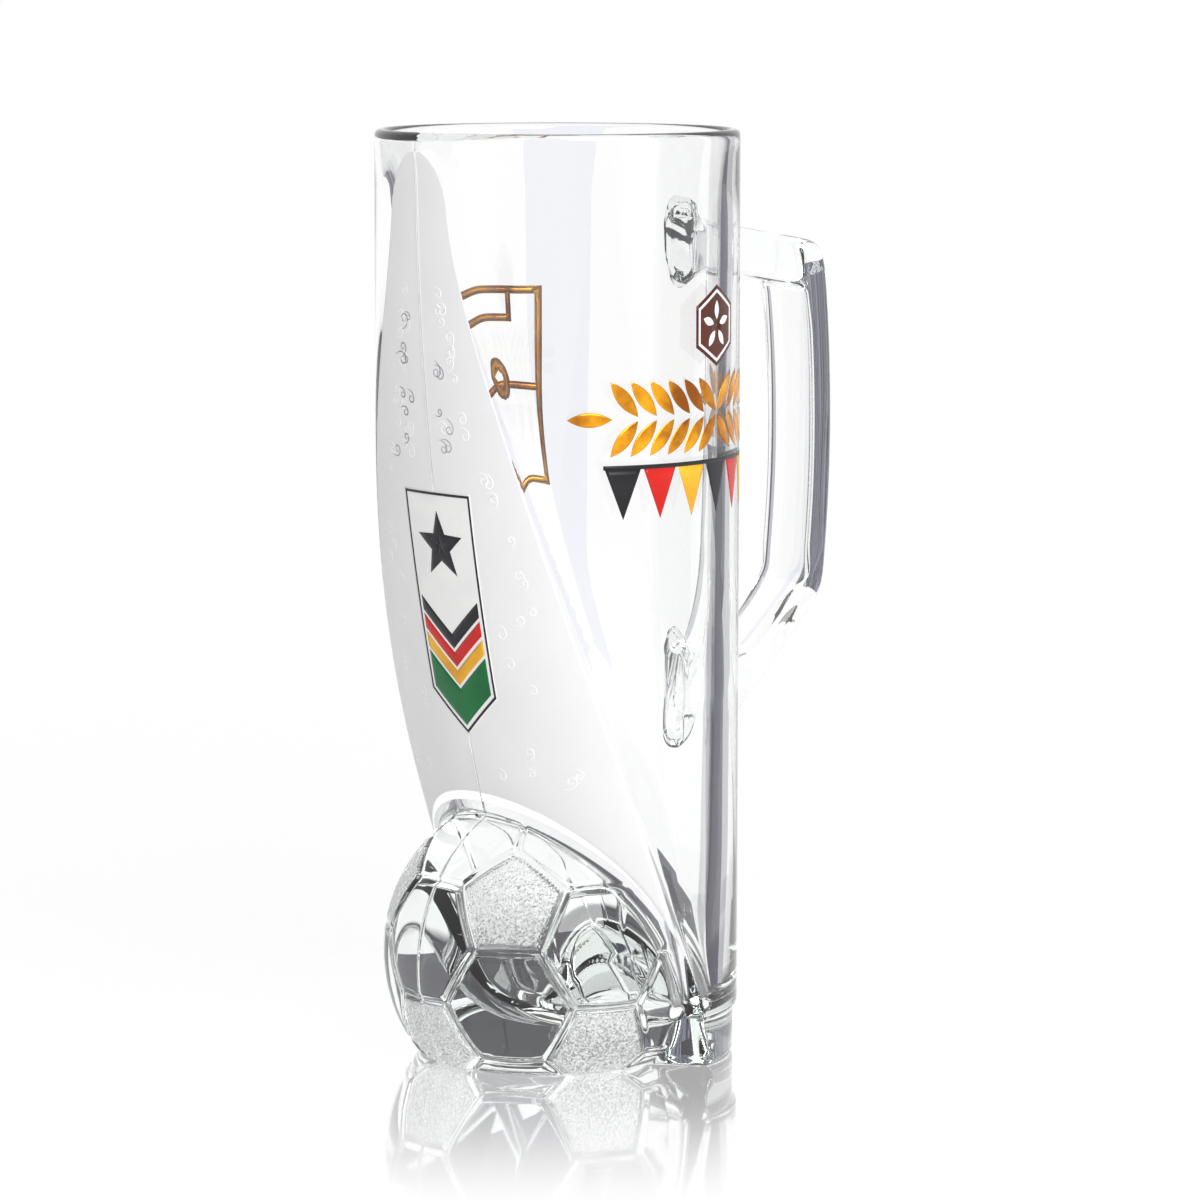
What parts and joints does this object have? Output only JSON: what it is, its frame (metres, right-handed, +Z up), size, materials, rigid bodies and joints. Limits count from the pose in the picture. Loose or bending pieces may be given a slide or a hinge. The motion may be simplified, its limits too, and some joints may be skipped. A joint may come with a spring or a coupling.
{
  "type": "beer mug",
  "caption": "Tall clear glass beer mug with a strap handle, a scooped satin front and a moulded football as the front of its foot, with plain colour prints.",
  "frame": {"origin": "centre of the standing ring, in the plane the mug stands on, on the axis of the round wall", "axes": "+Z up along the round wall, -X towards the ball, +X towards the handle"},
  "size_m": [0.1128, 0.0784, 0.2],
  "materials": {
    "glass": "clear fire-polished soda-lime glass",
    "satin_white": "satin white print",
    "pale_print": "white print",
    "black_print": "black print",
    "red_print": "red print",
    "yellow_print": "golden yellow print",
    "green_print": "green print",
    "brown_print": "brown print",
    "gold_print": "metallic gold print"
  },
  "bodies": {
    "root": {"glass_body": "glass", "handle": "glass", "satin_panel": "satin_white", "pennant_ground": "pale_print", "pennant_border": "black_print", "pennant_star": "black_print", "pennant_black": "black_print", "pennant_red": "red_print", "pennant_gold": "yellow_print", "pennant_green": "green_print", "barley_gold": "gold_print", "bunting_cord": "black_print", "bunting_black": "black_print", "bunting_red": "red_print", "bunting_gold": "yellow_print", "plaque_brown": "brown_print", "plaque_white": "pale_print", "pitch_gold": "gold_print"}
  },
  "joints": []
}
